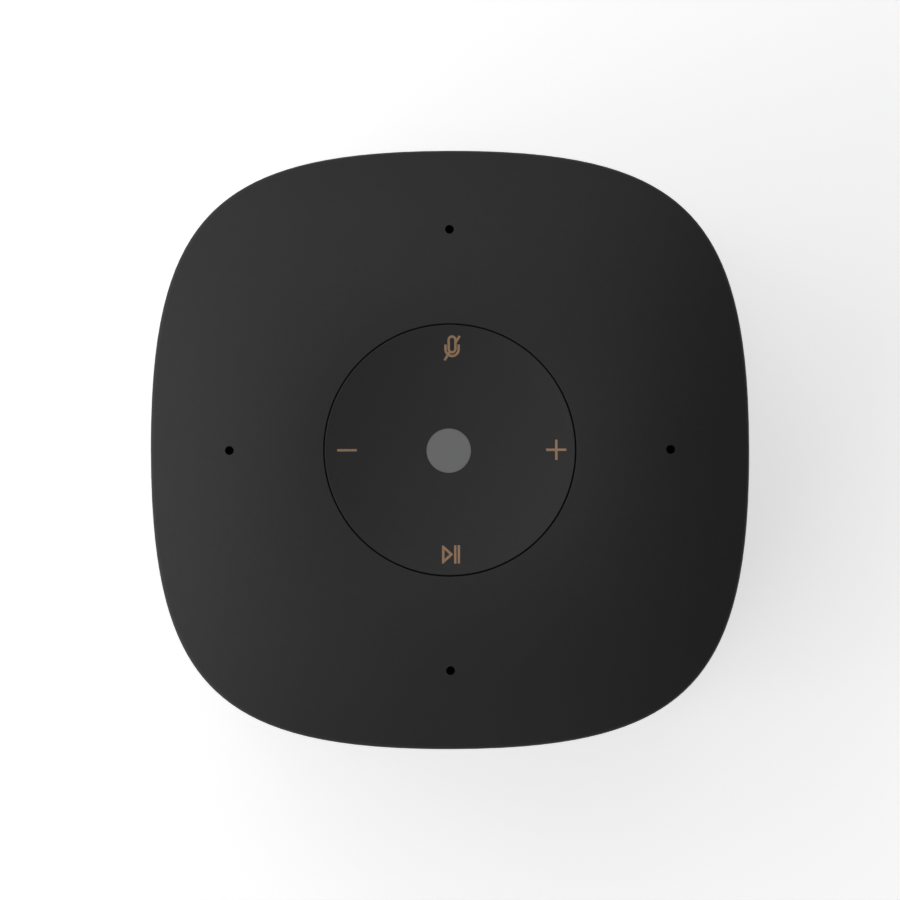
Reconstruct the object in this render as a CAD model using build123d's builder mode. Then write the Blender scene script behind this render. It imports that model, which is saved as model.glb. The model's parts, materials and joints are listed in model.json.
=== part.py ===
from build123d import *
import os
from math import hypot, radians, tan

# Smart home hub: a voice-controlled speaker with a rocking control disc on top.
# Millimetres. The origin is the centre of the footprint on the table, +Z is up,
# +Y is the rear (the power socket's side) and -Y is the front.

# ---- Driving dimensions ----

half_width = 47.5  # half of the body's width and of its depth
total_height = 140.0
corner_handle = 0.786  # Bezier handle over half width: the body's rounded square
middle_handle = 0.67
round_handle = 0.5523  # the same ratio for a circle

# Levels of the casing
foot_top = 1.2
base_floor = 2.0
base_round_top = 9.0
base_top = 20.0
lip_top = 24.0
sleeve_top = 130.6
rim_bottom = 130.9
rim_top = 133.25
edge_corner = 133.78
dome_edge = 134.0
cover_lip_bottom = 125.0
crown_radius = 20.8  # flat ring round the opening

# Walls and fits
shell_wall = 2.2
sleeve_wall = 2.0
lip_half = half_width - shell_wall
lip_inner_half = 43.7

# Control disc: its rim is part of a ball about the pivot, so the gap stays the same as it rocks
disc_radius = 19.8
disc_edge = 139.9
rim_gap = 0.22
dish_depth = 1.4
disc_underside = 136.6
skirt_bottom = 135.2
skirt_inner = 19.4
lens_radius = 3.5
lens_bottom = 135.6
lens_shift = (-0.2, -0.1)
slip = 0.02  # gap round pieces that are glued into a pocket

# Rocking mechanism
pivot_height = 132.0
rim_ball = hypot(disc_radius, disc_edge - pivot_height)
pivot_pin_radius = 0.8
pivot_hole_radius = 0.85
ring_inner = 6.5
ring_outer = 9.0
ring_thickness = 2.4
lug_inner = 9.6
lug_outer = 11.6
lug_width = 3.2
pin_reach = 11.5
lug_drop = 1.7  # how far the lugs and ears pass the pivot
plunger_radius = 15.5
plunger_bottom = 127.8
plunger_size = 1.2

# Control board stack
board_bottom = 125.4
board_top = 127.0
frame_top = 129.0
board_radius = 37.5
board_hole = 21.0
mic_radius = 34.95
mic_hole = 0.7
mic_height = 1.0
gasket_top = 131.0
gasket_radius = 2.4
hold_down_radius = 2.6  # the cover's pillars on the gaskets and on the key frame

# Fixing columns
cover_column = 32.5
cover_column_bottom = 122.0
base_column = 30.0
base_column_top = 46.0
column_radius = 3.3
pilot_radius = 1.05
screw_radius = 1.0
small_screw_radius = 0.8
small_pilot_radius = 0.85
screw_play = 0.2

# Speaker box and driver
box_half = 37.0
box_wall = 2.4
box_bottom = 46.0
box_top = 110.0
baffle_top = 49.5
baffle_screw_ring = 31.2
baffle_recess = 1.5
baffle_opening = 23.4
seal_top = 50.3
flange_radius = 27.2
flange_top = 51.7
driver_screw_ring = 25.6
cone_outer = 18.6
former_radius = 6.8
gap_radius = 7.5
pole_radius = 6.0
plate_bottom = 64.4
magnet_bottom = 67.4
magnet_top = 73.4
yoke_top = 76.4

# Main board
main_board_bottom = 114.0
main_board_top = 115.6
main_board_size = 58.0
main_board_corner = 8.0
main_board_hole = 24.0

# Power socket
jack_size = 10.0
jack_height = 13.0
jack_face = 41.4
jack_back = 30.0
socket_radius = 2.95
socket_pin_radius = 1.0
socket_depth_inside = 9.5
jack_hole_radius = 5.6


# ---- Shared shapes ----


def outline_points(half, level, handle, quarter):
    """Control points of one quarter of the rounded square with this half width."""
    reach = half * handle
    corners = ((half, 0), (half, reach), (reach, half), (0, half))
    return [Vector(x, y, level).rotate(Axis.Z, 90 * quarter) for x, y in corners]


def outline(half, level=0.0, handle=corner_handle):
    """Flat face of the rounded square."""
    edges = [Edge.make_bezier(*outline_points(half, level, handle, n)) for n in range(4)]
    return Face(Wire(edges))


def stacked(*bands):
    """Closed solid whose sides pass smoothly through rows of (half width, level, handle)."""
    faces = []
    for rows in bands:
        for quarter in range(4):
            net = [outline_points(*row, quarter) for row in rows]
            faces.append(Face.make_bezier_surface(net))
    faces.append(outline(*bands[0][0]))
    faces.append(outline(*bands[-1][-1]))
    return Solid(Shell(faces))


def prism(half, low, high):
    """Straight column with the body's rounded-square section."""
    with BuildPart() as column:
        with BuildSketch(Plane.XY.offset(low)):
            add(outline(half))
        extrude(amount=high - low)
    return column.part


def turned(*profile):
    """Solid of revolution about Z from its (radius, height) corners."""
    with BuildPart() as body:
        with BuildSketch(Plane.XZ):
            with BuildLine():
                Polyline(*profile, close=True)
            make_face()
        revolve(axis=Axis.Z)
    return body.part


def screw(head_radius, head_base, head_height, shank_radius, tip):
    """Screw on the Z axis, its head on the far side of head_base from its tip."""
    direction = 1 if tip > head_base else -1
    head_end = head_base - direction * head_height
    slot_depth = 0.6 * head_height
    with BuildPart() as body:
        with BuildSketch(Plane.XY.offset(min(head_base, head_end))):
            Circle(head_radius)
        extrude(amount=head_height)
        with BuildSketch(Plane.XY.offset(min(head_base, tip))):
            Circle(shank_radius)
        extrude(amount=abs(tip - head_base))
        with BuildSketch(Plane.XY.offset(head_end)):
            Rectangle(1.3 * head_radius, 0.3 * head_radius)
            Rectangle(0.3 * head_radius, 1.3 * head_radius)
        extrude(amount=direction * slot_depth, mode=Mode.SUBTRACT)
    return body.part


def bend_radii(points, share=0.45):
    """Arc radii as large as each corner's two runs allow."""
    radii = []
    for before, corner, after in zip(points, points[1:], points[2:]):
        arrive = Vector(corner) - Vector(before)
        leave = Vector(after) - Vector(corner)
        half_turn = radians(arrive.get_angle(leave)) / 2
        radii.append(share * min(arrive.length, leave.length) / tan(half_turn))
    return radii


def wire_lead(points, radius):
    """Round insulated lead along straight runs joined by tangent arcs."""
    with BuildPart() as lead:
        with BuildLine() as path:
            FilletPolyline(*points, radius=bend_radii(points))
        with BuildSketch(Plane(origin=path.line @ 0, z_dir=path.line % 0)):
            Circle(radius)
        sweep()
    return lead.part


parts = {}

# ---- Casing ----

# Top cover: a shallow dome on a rounded-square rim, with an inner lip that
# plugs into the sleeve.
cover_wall_low = 133.0
cover_underside = 137.8
collar_bottom = 134.4
collar_radius = 23.4
sound_pillar_top = 136.6
board_pillar_top = 138.2
corner_column_top = 134.6
board_pilot_depth = 6.5
corner_pilot_depth = 11
cover_outer = stacked(
    [(half_width, rim_bottom, corner_handle), (half_width, rim_top, corner_handle)],
    [
        (half_width, rim_top, corner_handle),
        (half_width, edge_corner, corner_handle),
        (half_width - 0.5, dome_edge, corner_handle),
    ],
    [
        (half_width - 0.5, dome_edge, corner_handle),
        (33.5, total_height, middle_handle),
        (crown_radius, total_height, round_handle),
    ],
)
cover_hollow = stacked(
    [
        (lip_inner_half, cover_lip_bottom - 1, corner_handle),
        (lip_inner_half, cover_wall_low, corner_handle),
    ],
    [
        (lip_inner_half, cover_wall_low, corner_handle),
        (32.5, cover_underside, middle_handle),
        (crown_radius, cover_underside, round_handle),
    ],
)
with BuildPart() as top_cover:
    add(cover_outer)
    add(prism(lip_half, cover_lip_bottom, rim_top))
    add(cover_hollow, mode=Mode.SUBTRACT)
    with BuildSketch(Plane.XY.offset(collar_bottom)):
        Circle(collar_radius)
    extrude(amount=cover_underside + 1 - collar_bottom)
    with BuildSketch(Plane.XY.offset(gasket_top)):
        with PolarLocations(mic_radius, 4):
            Circle(hold_down_radius)
    extrude(amount=sound_pillar_top - gasket_top)
    with BuildSketch(Plane.XY.offset(frame_top)):
        with GridLocations(2 * board_hole, 2 * board_hole, 2, 2):
            Circle(hold_down_radius)
    extrude(amount=board_pillar_top - frame_top)
    with BuildSketch(Plane.XY.offset(cover_column_bottom)):
        with GridLocations(2 * cover_column, 2 * cover_column, 2, 2):
            Circle(column_radius)
    extrude(amount=corner_column_top - cover_column_bottom)
    with Locations((0, 0, pivot_height)):
        Sphere(rim_ball + rim_gap, mode=Mode.SUBTRACT)
    with BuildSketch(Plane.XY.offset(gasket_top)):
        with PolarLocations(mic_radius, 4):
            Circle(mic_hole)
    extrude(amount=total_height + 1 - gasket_top, mode=Mode.SUBTRACT)
    with BuildSketch(Plane.XY.offset(frame_top)):
        with GridLocations(2 * board_hole, 2 * board_hole, 2, 2):
            Circle(small_pilot_radius)
    extrude(amount=board_pilot_depth, mode=Mode.SUBTRACT)
    with BuildSketch(Plane.XY.offset(cover_column_bottom)):
        with GridLocations(2 * cover_column, 2 * cover_column, 2, 2):
            Circle(pilot_radius)
    extrude(amount=corner_pilot_depth, mode=Mode.SUBTRACT)
    mouth = top_cover.edges().filter_by(GeomType.CIRCLE).group_by(Axis.Z)[-1]
    fillet(mouth.sort_by(SortBy.RADIUS)[-1], radius=0.08)
parts["top_cover"] = top_cover

# Sleeve: the straight grille wall between the base and the top cover.
with BuildPart() as sleeve:
    with BuildSketch(Plane.XY.offset(base_top)):
        add(outline(half_width))
        add(outline(half_width - sleeve_wall), mode=Mode.SUBTRACT)
    extrude(amount=sleeve_top - base_top)
parts["sleeve"] = sleeve

# Base shell: a bowl with columns for the speaker box and a round hole at the
# rear for the power plug.
base_outer = stacked(
    [
        (42.0, base_floor, corner_handle),
        (46.8, base_floor, corner_handle),
        (half_width, base_round_top, corner_handle),
    ],
    [(half_width, base_round_top, corner_handle), (half_width, base_top, corner_handle)],
)
base_hollow = stacked(
    [
        (40.4, base_floor + shell_wall, corner_handle),
        (44.6, base_floor + shell_wall, corner_handle),
        (lip_half, base_round_top + 0.6, corner_handle),
    ],
    [(lip_half, base_round_top + 0.6, corner_handle), (lip_half, 15.0, corner_handle)],
)
screw_seat = 40.0
inside_floor = 3.0  # a level within the floor's thickness, where the columns start
lip_start = 12.0
lip_inner_start = 14.0
recess_radius = 2.4
jack_rest_y = 36.0
with BuildPart() as base_shell:
    add(base_outer)
    add(prism(lip_half, lip_start, lip_top))
    add(base_hollow, mode=Mode.SUBTRACT)
    add(prism(lip_inner_half, lip_inner_start, lip_top + 1), mode=Mode.SUBTRACT)
    with BuildSketch(Plane.XY.offset(inside_floor)):
        with GridLocations(2 * base_column, 2 * base_column, 2, 2):
            Circle(recess_radius + 1.2)
    extrude(amount=base_column_top - inside_floor)
    with BuildSketch(Plane.XY.offset(inside_floor)):
        with Locations((0, jack_rest_y)):
            Rectangle(9.4, 11)
    extrude(amount=jack_height - jack_size / 2 - inside_floor)
    with BuildSketch(Plane.XY.offset(base_floor - 1)):
        with GridLocations(2 * base_column, 2 * base_column, 2, 2):
            Circle(recess_radius)
    extrude(amount=screw_seat - base_floor + 1, mode=Mode.SUBTRACT)
    with BuildSketch(Plane.XY.offset(screw_seat - 1)):
        with GridLocations(2 * base_column, 2 * base_column, 2, 2):
            Circle(pilot_radius)
    extrude(amount=base_column_top + 1 - screw_seat + 1, mode=Mode.SUBTRACT)
    with BuildSketch(Plane.XZ.offset(-jack_face - 0.6)):
        with Locations((0, jack_height)):
            Circle(jack_hole_radius)
    extrude(amount=-7, mode=Mode.SUBTRACT)
parts["base_shell"] = base_shell

# Bottom plate: hides the base screws.
bottom_half = 41.2
with BuildPart() as bottom_plate:
    with BuildSketch(Plane.XY.offset(foot_top)):
        add(outline(bottom_half))
    extrude(amount=base_floor - foot_top)
parts["bottom_plate"] = bottom_plate

# Foot ring: rubber, glued under the bottom plate.
foot_half = 40.2
foot_inner_half = 34.5
foot_edge = 0.3
with BuildPart() as foot_ring:
    add(
        stacked(
            [(foot_half - foot_edge, 0, corner_handle), (foot_half, foot_edge, corner_handle)],
            [(foot_half, foot_edge, corner_handle), (foot_half, foot_top, corner_handle)],
        )
    )
    add(prism(foot_inner_half, -1, foot_top + 1), mode=Mode.SUBTRACT)
parts["foot_ring"] = foot_ring

# ---- Control disc and its markings ----

stroke = 0.38
mark_size = 3.2
mark_slice = 0.25  # depth of the inlaid markings
dish_floor = disc_edge - dish_depth
dish_ball = (disc_radius**2 + dish_depth**2) / (2 * dish_depth)

# Muted microphone: a capsule in a cradle, and a slash that passes behind it.
capsule_long = 2.86
capsule_wide = 1.45
with BuildSketch() as mute_mark:
    with BuildLine():
        Line((-0.83, 14.2), (1.57, 18.05))
    trace(line_width=stroke)
    with Locations((0.36, 16.72)):
        SlotOverall(capsule_long, capsule_wide, rotation=90, mode=Mode.SUBTRACT)
        SlotOverall(capsule_long, capsule_wide, rotation=90)
        SlotOverall(
            capsule_long - 2 * stroke, capsule_wide - 2 * stroke, rotation=90, mode=Mode.SUBTRACT
        )
    with BuildLine():
        Polyline((-0.67, 16.7), (-0.67, 15.97))
        ThreePointArc((-0.67, 15.97), (0.365, 14.89), (1.4, 15.97))
        Polyline((1.4, 15.97), (1.4, 16.7))
    trace(line_width=stroke)

# Minus and plus for the loudness.
with BuildSketch() as minus_mark:
    with Locations((-16.31, 0)):
        Rectangle(mark_size - 0.1, stroke)

with BuildSketch() as plus_mark:
    with Locations((16.83, 0)):
        Rectangle(mark_size, stroke)
        Rectangle(stroke, mark_size)

# Play and pause: an outlined triangle with blunt corners, and two bars.
mark_middle = -16.53
pause_high = 2.9
with BuildSketch() as play_pause_mark:
    with BuildLine():
        Polyline(
            (-1.3, mark_middle + 1.6), (-1.3, mark_middle - 1.6), (0.48, mark_middle), close=True
        )
    make_face()
    offset(amount=-stroke, kind=Kind.INTERSECTION, mode=Mode.SUBTRACT)
    with Locations((-0.46, mark_middle)):
        Rectangle(1.68, pause_high - 0.04, mode=Mode.INTERSECT)
    with Locations((0.79, mark_middle), (1.36, mark_middle)):
        Rectangle(stroke, pause_high)


def dished_plate(drop, underside):
    """Round plate whose hollow top lies that far under the disc's top."""
    with BuildPart() as plate:
        with BuildSketch(Plane.XY.offset(underside)):
            Circle(rim_ball)
        extrude(amount=disc_edge + 1 - underside)
        with Locations((0, 0, dish_floor - drop + dish_ball)):
            Sphere(dish_ball, mode=Mode.SUBTRACT)
    return plate.part


with BuildPart() as marking_layer:
    add(dished_plate(0, disc_underside))
    add(dished_plate(mark_slice, disc_underside - 1), mode=Mode.SUBTRACT)

mark_sketches = {
    "icon_mute": mute_mark,
    "icon_minus": minus_mark,
    "icon_plus": plus_mark,
    "icon_play_pause": play_pause_mark,
}
markings = {}
for mark_name, mark in mark_sketches.items():
    with BuildPart() as marking:
        with BuildSketch(Plane.XY.offset(dish_floor - 1)):
            add(mark.sketch)
        extrude(amount=dish_depth + 2)
        add(marking_layer.part, mode=Mode.INTERSECT)
    markings[mark_name] = marking
    parts[mark_name] = marking

# Control disc: one dished plate with a skirt, four plungers over the snap domes
# and two lugs that hang on the gimbal ring's front and rear pins.
with BuildPart() as control_disc:
    add(dished_plate(0, disc_underside))
    with BuildSketch(Plane.XY.offset(skirt_bottom)):
        Circle(rim_ball)
        Circle(skirt_inner, mode=Mode.SUBTRACT)
    extrude(amount=disc_underside - skirt_bottom)
    with Locations((0, 0, pivot_height)):
        Sphere(rim_ball, mode=Mode.INTERSECT)
    fillet(control_disc.edges().group_by(Axis.Z)[-1], radius=0.12)
    with BuildSketch(Plane.XY.offset(plunger_bottom)):
        with PolarLocations(plunger_radius, 4):
            Circle(plunger_size)
    extrude(amount=disc_underside + 0.5 - plunger_bottom)
    with BuildSketch(Plane.XY.offset(pivot_height - lug_drop)):
        with PolarLocations((lug_inner + lug_outer) / 2, 2, start_angle=90):
            Rectangle(lug_outer - lug_inner, lug_width)
    extrude(amount=disc_underside + 0.5 - pivot_height + lug_drop)
    with BuildSketch(Plane.XZ):
        with Locations((0, pivot_height)):
            Circle(pivot_hole_radius)
    extrude(amount=lug_outer + 1, both=True, mode=Mode.SUBTRACT)
    with BuildSketch(Plane.XY.offset(disc_underside - 1)):
        with Locations(lens_shift):
            Circle(lens_radius + slip)
    extrude(amount=5, mode=Mode.SUBTRACT)
    for marking in markings.values():
        add(marking.part, mode=Mode.SUBTRACT)
parts["control_disc"] = control_disc

# Status lens: a frosted window in the middle of the disc, flush with the dish.
lens_top = dish_floor + 0.03
lens_flange = 1.2
with BuildPart() as status_lens:
    with BuildSketch(Plane.XY.offset(lens_bottom)):
        with Locations(lens_shift):
            Circle(lens_radius)
    extrude(amount=lens_top - lens_bottom)
    with BuildSketch(Plane.XY.offset(lens_bottom)):
        with Locations(lens_shift):
            Circle(lens_radius + lens_flange)
    extrude(amount=disc_underside - lens_bottom - slip)
parts["status_lens"] = status_lens

# ---- Rocking mechanism ----

# Gimbal ring: side pins turn in the key frame, front and rear pins carry the disc.
with BuildPart() as gimbal_ring:
    with BuildSketch(Plane.XY.offset(pivot_height - ring_thickness / 2)):
        Circle(ring_outer)
        Circle(ring_inner, mode=Mode.SUBTRACT)
    extrude(amount=ring_thickness)
    fillet(gimbal_ring.edges().filter_by(GeomType.CIRCLE), radius=0.3)
    for pin_plane in (Plane.XZ, Plane.YZ):
        with BuildSketch(pin_plane.offset(ring_inner + 1)):
            with Locations((0, pivot_height)):
                Circle(pivot_pin_radius)
        extrude(amount=pin_reach - ring_inner - 1)
        with BuildSketch(pin_plane.offset(-ring_inner - 1)):
            with Locations((0, pivot_height)):
                Circle(pivot_pin_radius)
        extrude(amount=-(pin_reach - ring_inner - 1))
parts["gimbal_ring"] = gimbal_ring

# Key frame: a plate on the control board with two ears for the gimbal ring.
frame_outer = 32.2
frame_middle = 19.0
frame_hub = 12.4
spoke_width = 4.0
frame_slots = 26.0
with BuildPart() as key_frame:
    with BuildSketch(Plane.XY.offset(board_top)):
        Circle(frame_outer)
        Circle(frame_middle, mode=Mode.SUBTRACT)
        Circle(frame_hub)
        Rectangle(2 * frame_middle + 2, spoke_width, rotation=45)
        Rectangle(2 * frame_middle + 2, spoke_width, rotation=-45)
        Circle(lug_inner, mode=Mode.SUBTRACT)
        with PolarLocations(frame_slots, 4):
            SlotOverall(13, 5, rotation=90, mode=Mode.SUBTRACT)
    extrude(amount=frame_top - board_top)
    with BuildSketch(Plane.XY.offset(board_top)):
        with PolarLocations((lug_inner + lug_outer) / 2, 2):
            Rectangle(lug_outer - lug_inner, lug_width)
    extrude(amount=pivot_height + lug_drop - board_top)
    with BuildSketch(Plane.YZ):
        with Locations((0, pivot_height)):
            Circle(pivot_hole_radius)
    extrude(amount=lug_outer + 1, both=True, mode=Mode.SUBTRACT)
    with BuildSketch(Plane.XY.offset(board_top)):
        with GridLocations(2 * board_hole, 2 * board_hole, 2, 2):
            Circle(small_screw_radius + screw_play)
    extrude(amount=frame_top - board_top, mode=Mode.SUBTRACT)
parts["key_frame"] = key_frame

# Control board: round, with the microphones at its edge.
with BuildPart() as control_board:
    with BuildSketch(Plane.XY.offset(board_bottom)):
        Circle(board_radius)
        with GridLocations(2 * board_hole, 2 * board_hole, 2, 2):
            Circle(small_screw_radius + screw_play, mode=Mode.SUBTRACT)
    extrude(amount=board_top - board_bottom)
parts["control_board"] = control_board

# Snap domes: thin sprung caps under the plungers, one pair for each rocking axis.
dome_radius = 3.0
dome_height = 0.7
dome_sheet = 0.2
sphere_radius = (dome_radius**2 + dome_height**2) / (2 * dome_height)
for pair_name, first_angle in (("domes_left_right", 0), ("domes_front_rear", 90)):
    with BuildPart() as domes:
        with PolarLocations(plunger_radius, 2, start_angle=first_angle):
            with Locations((0, 0, board_top + dome_height - sphere_radius)):
                Sphere(sphere_radius)
                Sphere(sphere_radius - dome_sheet, mode=Mode.SUBTRACT)
        split(bisect_by=Plane.XY.offset(board_top), keep=Keep.TOP)
    parts[pair_name] = domes

# Status light: a lamp chip on the board under a clear pipe.
lamp_height = 0.9
with BuildPart() as status_led:
    with BuildSketch(Plane.XY.offset(board_top)):
        Rectangle(3.2, 2.8)
    extrude(amount=lamp_height)
    chamfer(status_led.edges().group_by(Axis.Z)[-1], length=0.15)
parts["status_led"] = status_led

pipe_inner = 2.6
pipe_foot = 4.2
pipe_radius = 3.0

with BuildPart() as light_pipe:
    add(
        turned(
            (0, board_top + lamp_height + 0.5),
            (pipe_inner, board_top + lamp_height + 0.5),
            (pipe_inner, board_top),
            (pipe_foot, board_top),
            (pipe_foot, frame_top),
            (pipe_radius, frame_top + 1.5),
            (pipe_radius - 0.1, lens_bottom - 0.6),
            (0, lens_bottom - 0.6),
        )
    )
parts["light_pipe"] = light_pipe

# Microphones and their rubber gaskets, one under each sound hole.
mic_places = {"right": 0, "rear": 90, "left": 180, "front": 270}
for side, angle in mic_places.items():
    with BuildPart() as mic:
        with BuildSketch(Plane.XY.offset(board_top)):
            with PolarLocations(mic_radius, 1, start_angle=angle):
                Rectangle(2.65, 3.5)
        extrude(amount=mic_height)
        with BuildSketch(Plane.XY.offset(board_top + mic_height - 0.4)):
            with PolarLocations(mic_radius, 1, start_angle=angle):
                Circle(mic_hole / 2)
        extrude(amount=0.5, mode=Mode.SUBTRACT)
    parts["mic_" + side] = mic
    with BuildPart() as mic_gasket:
        with BuildSketch(Plane.XY.offset(board_top + mic_height)):
            with PolarLocations(mic_radius, 1, start_angle=angle):
                Circle(gasket_radius)
                Circle(mic_hole, mode=Mode.SUBTRACT)
        extrude(amount=gasket_top - board_top - mic_height)
    parts["mic_gasket_" + side] = mic_gasket

# Flat cable between the two boards, with its two sockets.
cable_reach = -34.8
upper_socket_y = -29.0
lower_socket_y = -25.0
cable_width = 8.0
socket_length = 10.0
socket_depth = 4.0
socket_height = 2.0
cable_low = main_board_top + socket_height / 2
cable_high = board_bottom - socket_height / 2
with BuildPart() as ffc_connector_upper:
    with BuildSketch(Plane.XY.offset(board_bottom - socket_height)):
        with Locations((0, upper_socket_y)):
            Rectangle(socket_length, socket_depth)
    extrude(amount=socket_height)
    with BuildSketch(Plane.XY.offset(cable_high - 0.3)):
        with Locations((0, upper_socket_y - 1)):
            Rectangle(cable_width + 0.4, socket_depth - 1)
    extrude(amount=0.6, mode=Mode.SUBTRACT)
parts["ffc_connector_upper"] = ffc_connector_upper

with BuildPart() as ffc_connector_lower:
    with BuildSketch(Plane.XY.offset(main_board_top)):
        with Locations((0, lower_socket_y)):
            Rectangle(socket_length, socket_depth)
    extrude(amount=socket_height)
    with BuildSketch(Plane.XY.offset(cable_low - 0.3)):
        with Locations((0, lower_socket_y - 1)):
            Rectangle(cable_width + 0.4, socket_depth - 1)
    extrude(amount=0.6, mode=Mode.SUBTRACT)
parts["ffc_connector_lower"] = ffc_connector_lower

with BuildPart() as ffc_cable:
    with BuildSketch(Plane.YZ):
        with BuildLine():
            FilletPolyline(
                (lower_socket_y - 0.6, cable_low),
                (cable_reach, cable_low),
                (cable_reach, cable_high),
                (upper_socket_y - 0.6, cable_high),
                radius=3.0,
            )
        trace(line_width=0.3)
    extrude(amount=cable_width / 2, both=True)
parts["ffc_cable"] = ffc_cable

# ---- Speaker box ----

# Speaker box: closed at the top, with ears for the base below and columns for
# the top cover above.
box_ceiling = box_top - box_wall
ear_top = 58.0
column_foot = 102.0
column_seat = 118.0
ear_radius = 3.2
web_radius = 43.0  # the middle of the webs that join the columns to the box
boss_height = 11
boss_radius = 3.7
slot_y = 27.0
with BuildPart() as speaker_box:
    with BuildSketch(Plane.XY.offset(box_bottom)):
        add(outline(box_half))
    extrude(amount=box_top - box_bottom)
    with BuildSketch(Plane.XY.offset(box_bottom)):
        add(outline(box_half - box_wall))
    extrude(amount=box_ceiling - box_bottom, mode=Mode.SUBTRACT)
    with BuildSketch(Plane.XY.offset(box_bottom)):
        with GridLocations(2 * base_column, 2 * base_column, 2, 2):
            Circle(ear_radius)
    extrude(amount=ear_top - box_bottom)
    with BuildSketch(Plane.XY.offset(column_foot)):
        with GridLocations(2 * cover_column, 2 * cover_column, 2, 2):
            Circle(column_radius)
    extrude(amount=cover_column_bottom - column_foot)
    with BuildSketch(Plane.XY.offset(column_foot)):
        with PolarLocations(web_radius, 4, start_angle=45):
            Rectangle(6, 3)
    extrude(amount=box_top - column_foot)
    with BuildSketch(Plane.XY.offset(baffle_top)):
        with PolarLocations(baffle_screw_ring, 4):
            Circle(boss_radius)
    extrude(amount=boss_height)
    with BuildSketch(Plane.XY.offset(box_top - 0.5)):
        with GridLocations(2 * main_board_hole, 2 * main_board_hole, 2, 2):
            Circle(2.5)
    extrude(amount=main_board_bottom - box_top + 0.5)
    with BuildSketch(Plane.XY.offset(box_bottom)):
        with GridLocations(2 * base_column, 2 * base_column, 2, 2):
            Circle(pilot_radius)
    extrude(amount=10, mode=Mode.SUBTRACT)
    with BuildSketch(Plane.XY.offset(column_foot)):
        with GridLocations(2 * cover_column, 2 * cover_column, 2, 2):
            Circle(column_radius - 1)
    extrude(amount=column_seat - column_foot, mode=Mode.SUBTRACT)
    with BuildSketch(Plane.XY.offset(column_seat)):
        with GridLocations(2 * cover_column, 2 * cover_column, 2, 2):
            Circle(pilot_radius)
    extrude(amount=cover_column_bottom - column_seat, mode=Mode.SUBTRACT)
    with BuildSketch(Plane.XY.offset(baffle_top)):
        with PolarLocations(baffle_screw_ring, 4):
            Circle(small_pilot_radius)
    extrude(amount=boss_height - 2, mode=Mode.SUBTRACT)
    with BuildSketch(Plane.XY.offset(main_board_bottom - 5)):
        with GridLocations(2 * main_board_hole, 2 * main_board_hole, 2, 2):
            Circle(small_pilot_radius)
    extrude(amount=5, mode=Mode.SUBTRACT)
    with BuildSketch(Plane.XY.offset(box_ceiling)):
        with Locations((0, slot_y)):
            SlotOverall(5.2, 1.6)
    extrude(amount=box_wall, mode=Mode.SUBTRACT)
parts["speaker_box"] = speaker_box

# Baffle plate: closes the box and carries the driver.
driver_screw_depth = 2.5
with BuildPart() as baffle_plate:
    with BuildSketch(Plane.XY.offset(box_bottom)):
        add(outline(box_half - box_wall - 0.2))
        Circle(baffle_opening, mode=Mode.SUBTRACT)
        with PolarLocations(baffle_screw_ring, 4):
            Circle(small_screw_radius + screw_play, mode=Mode.SUBTRACT)
    extrude(amount=baffle_top - box_bottom)
    with BuildSketch(Plane.XY.offset(box_bottom)):
        with PolarLocations(baffle_screw_ring, 4):
            Circle(2.0)
    extrude(amount=baffle_recess, mode=Mode.SUBTRACT)
    with BuildSketch(Plane.XY.offset(baffle_top - driver_screw_depth)):
        with PolarLocations(driver_screw_ring, 4, start_angle=45):
            Circle(small_pilot_radius)
    extrude(amount=driver_screw_depth, mode=Mode.SUBTRACT)
parts["baffle_plate"] = baffle_plate

# Baffle seal: a foam ring under the driver's flange.
with BuildPart() as baffle_seal:
    with BuildSketch(Plane.XY.offset(baffle_top)):
        Circle(flange_radius)
        Circle(baffle_opening + 0.1, mode=Mode.SUBTRACT)
        with PolarLocations(driver_screw_ring, 4, start_angle=45):
            Circle(small_screw_radius + screw_play, mode=Mode.SUBTRACT)
    extrude(amount=seal_top - baffle_top)
parts["baffle_seal"] = baffle_seal

# Screws of the baffle (from below) and of the driver's flange (from above).
baffle_screw = screw(1.9, box_bottom + baffle_recess, 1.2, small_screw_radius, 57.0)
flange_screw = screw(1.5, flange_top, 1.0, small_screw_radius, baffle_top - driver_screw_depth + 0.5)
with BuildPart() as baffle_screws:
    with PolarLocations(baffle_screw_ring, 4):
        add(baffle_screw)
    with PolarLocations(driver_screw_ring, 4, start_angle=45):
        add(flange_screw)
parts["baffle_screws"] = baffle_screws

# ---- Driver, facing down ----

# Basket: the flange, a conical frame with four windows and the rear ring.
frame_inner = 22.0
rear_outer = 17.6
rear_inner = 11.0
ledge_inner = 14.8
ledge_outer = 16.2
ledge_level = 60.6
rear_level = 63.0
window_width = 20.0
window_height = 7.0
with BuildPart() as driver_basket:
    add(
        turned(
            (frame_inner, seal_top),
            (flange_radius, seal_top),
            (flange_radius, flange_top),
            (frame_inner + 2.4, flange_top),
            (rear_outer, rear_level),
            (rear_outer, plate_bottom),
            (rear_inner, plate_bottom),
            (rear_inner, rear_level),
            (ledge_inner, rear_level),
            (ledge_inner, ledge_level),
            (ledge_outer, ledge_level),
            (ledge_outer, rear_level - 1),
            (frame_inner + 0.6, flange_top),
            (frame_inner, flange_top),
        )
    )
    with BuildSketch(Plane.XY.offset(flange_top + 0.8)):
        with PolarLocations(frame_inner - 1.5, 4):
            Rectangle(window_width / 2, window_width)
    extrude(amount=window_height, mode=Mode.SUBTRACT)
    with BuildSketch(Plane.XY.offset(seal_top)):
        with PolarLocations(driver_screw_ring, 4, start_angle=45):
            Circle(small_screw_radius + 0.1)
    extrude(amount=flange_top - seal_top, mode=Mode.SUBTRACT)
    with BuildSketch(Plane.XY.offset(flange_top)):
        with PolarLocations(driver_screw_ring, 4, start_angle=45):
            Circle(1.6)
    extrude(amount=4, mode=Mode.SUBTRACT)
parts["driver_basket"] = driver_basket

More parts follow.
